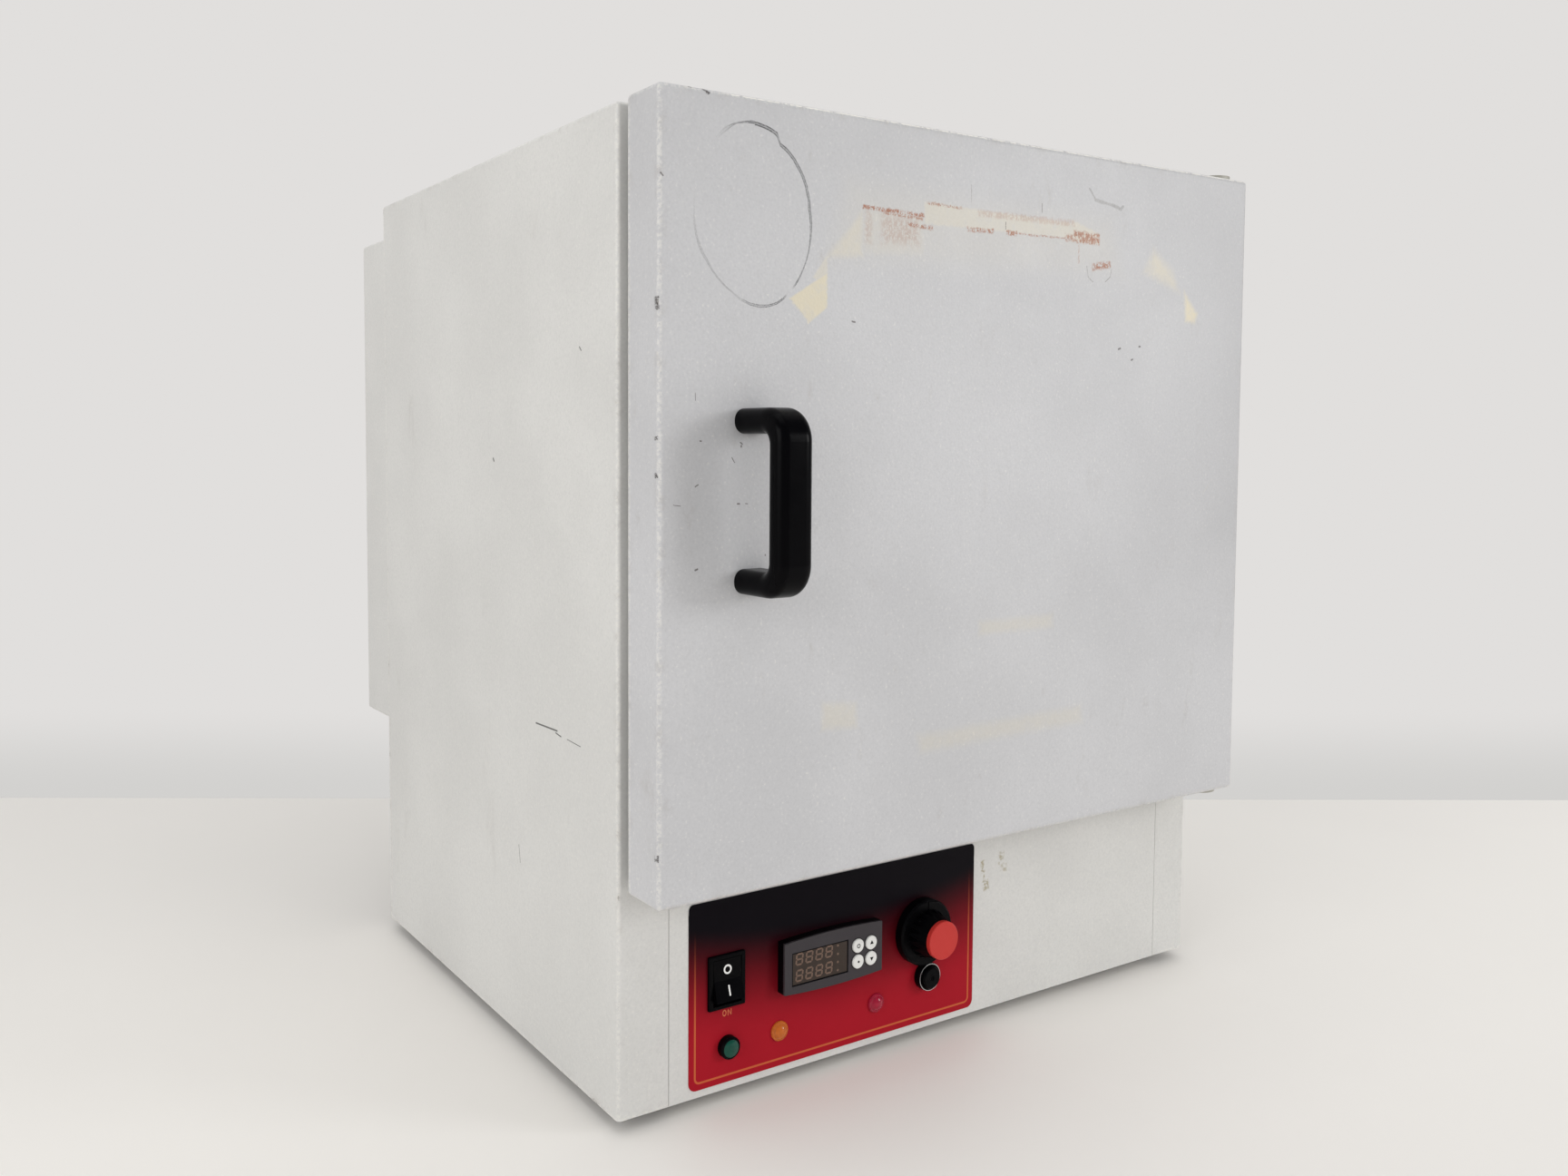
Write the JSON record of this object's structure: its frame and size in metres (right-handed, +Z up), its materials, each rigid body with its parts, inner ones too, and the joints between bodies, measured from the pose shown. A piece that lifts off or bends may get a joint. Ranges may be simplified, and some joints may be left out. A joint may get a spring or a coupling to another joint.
{
  "type": "hybridization oven",
  "caption": "Bench oven with a side-hung insulated door, stainless fan-stirred chamber, driven bottle rotor, low control panel and rear drive housing.",
  "frame": {"origin": "on the bench under the middle of the overall box", "axes": "+X to the right seen from the front, +Y to the back, +Z up"},
  "size_m": [0.485, 0.536, 0.5734],
  "materials": {
    "cabinet_paint": "fine powder coat, satin",
    "door_paint": "fine powder coat, satin, worn at the edges",
    "galvanised_steel": "mill finish",
    "stainless": "brushed",
    "hinge_steel": "zinc plated",
    "black_rubber": "matt",
    "panel_film": "printed film, satin",
    "black_plastic": "satin moulded",
    "gloss_black": "polished moulding",
    "case_grey": "satin moulded",
    "smoked_window": "smoked",
    "key_white": "satin",
    "knob_red": "satin",
    "lens_green": "translucent",
    "lens_amber": "translucent",
    "lens_red": "translucent",
    "lamp_bezel_metal": "bright",
    "mineral_wool": "felted",
    "silicone": "satin",
    "heater_sheath": "heat dulled",
    "motor_steel": "satin",
    "gear_case": "cast",
    "rotor_aluminium": "anodised",
    "spring_steel": "bright",
    "bottle_glass": "clear",
    "cap_blue": "satin",
    "bush_nylon": "satin"
  },
  "bodies": {
    "root": {"outer_casing": "cabinet_paint", "rear_panel": "galvanised_steel", "base_tray": "galvanised_steel", "rubber_feet": "black_rubber", "front_frame": "cabinet_paint", "control_fascia": "cabinet_paint", "control_label": "panel_film", "chamber_liner": "stainless", "chamber_insulation": "mineral_wool", "air_baffle": "stainless", "fan_guard": "stainless", "heater_element": "heater_sheath", "temperature_probe": "stainless", "limit_sensor": "stainless", "rear_housing": "cabinet_paint", "fan_motor": "motor_steel", "gearmotor": "gear_case", "mains_inlet": "black_plastic", "hinge_bracket_top": "hinge_steel", "hinge_bracket_bottom": "hinge_steel", "magnet_catch": "black_plastic", "switch_housing": "gloss_black", "mains_lamp_ring": "gloss_black", "mains_lamp_lens": "lens_green", "controller_lamp_ring": "lamp_bezel_metal", "controller_lamp_lens": "lens_amber", "overheat_lamp_ring": "lamp_bezel_metal", "overheat_lamp_lens": "lens_red", "controller_case": "black_plastic", "controller_front": "case_grey", "display_window": "smoked_window", "limit_thermostat": "black_plastic", "reset_collar": "black_plastic", "rotor_cradle": "stainless", "cradle_bush": "bush_nylon"},
    "door": {"door_outer_skin": "door_paint", "door_insulation": "mineral_wool", "door_inner_panel": "stainless", "door_gasket": "silicone", "door_handle": "gloss_black", "hinge_bushes": "bush_nylon", "strike_plate": "hinge_steel"},
    "rocker": {"switch_rocker": "gloss_black"},
    "knob": {"limit_knob": "black_plastic", "limit_knob_cap": "knob_red"},
    "reset": {"reset_button": "black_plastic"},
    "key_1": {"key_1": "key_white"},
    "key_2": {"key_2": "key_white"},
    "key_3": {"key_3": "key_white"},
    "key_4": {"key_4": "key_white"},
    "fan": {"fan_impeller": "rotor_aluminium", "fan_shaft": "hinge_steel"},
    "rotor": {"rotor_axle": "rotor_aluminium", "drive_shaft": "hinge_steel", "rotor_front_disc": "rotor_aluminium", "rotor_rear_disc": "rotor_aluminium", "rotor_tie_rods": "rotor_aluminium", "bottle_clips": "spring_steel", "bottles": "bottle_glass", "bottle_caps": "cap_blue"}
  },
  "joints": [
    {"name": "door_hinge", "type": "hinge", "parent": "root", "child": "door", "pos_m": [0.2285, -0.2065, 0.3545], "axis": [0, 0, 1], "range_deg": [0, 105]},
    {"name": "switch_rock", "type": "hinge", "parent": "root", "child": "rocker", "pos_m": [-0.1706, -0.1825, 0.0735], "axis": [1, 0, 0], "range_deg": [0, 20]},
    {"name": "limit_knob_turn", "type": "hinge", "parent": "root", "child": "knob", "pos_m": [-0.0202, -0.1865, 0.0735], "axis": [0, 1, 0], "range_deg": [0, 270]},
    {"name": "reset_press", "type": "slide", "parent": "root", "child": "reset", "axis": [0, 1, 0], "range_m": [0, 0.0016], "stiffness_N_per_m": 400},
    {"name": "key_1_press", "type": "slide", "parent": "root", "child": "key_1", "axis": [0, 1, 0], "range_m": [0, 0.0008], "stiffness_N_per_m": 300},
    {"name": "key_2_press", "type": "slide", "parent": "root", "child": "key_2", "axis": [0, 1, 0], "range_m": [0, 0.0008], "stiffness_N_per_m": 300},
    {"name": "key_3_press", "type": "slide", "parent": "root", "child": "key_3", "axis": [0, 1, 0], "range_m": [0, 0.0008], "stiffness_N_per_m": 300},
    {"name": "key_4_press", "type": "slide", "parent": "root", "child": "key_4", "axis": [0, 1, 0], "range_m": [0, 0.0008], "stiffness_N_per_m": 300},
    {"name": "fan_spin", "type": "hinge", "parent": "root", "child": "fan", "pos_m": [0, 0.0935, 0.446], "axis": [0, 1, 0], "continuous": true},
    {"name": "rotor_spin", "type": "hinge", "parent": "root", "child": "rotor", "pos_m": [0, -0.0565, 0.354], "axis": [0, 1, 0], "continuous": true}
  ]
}
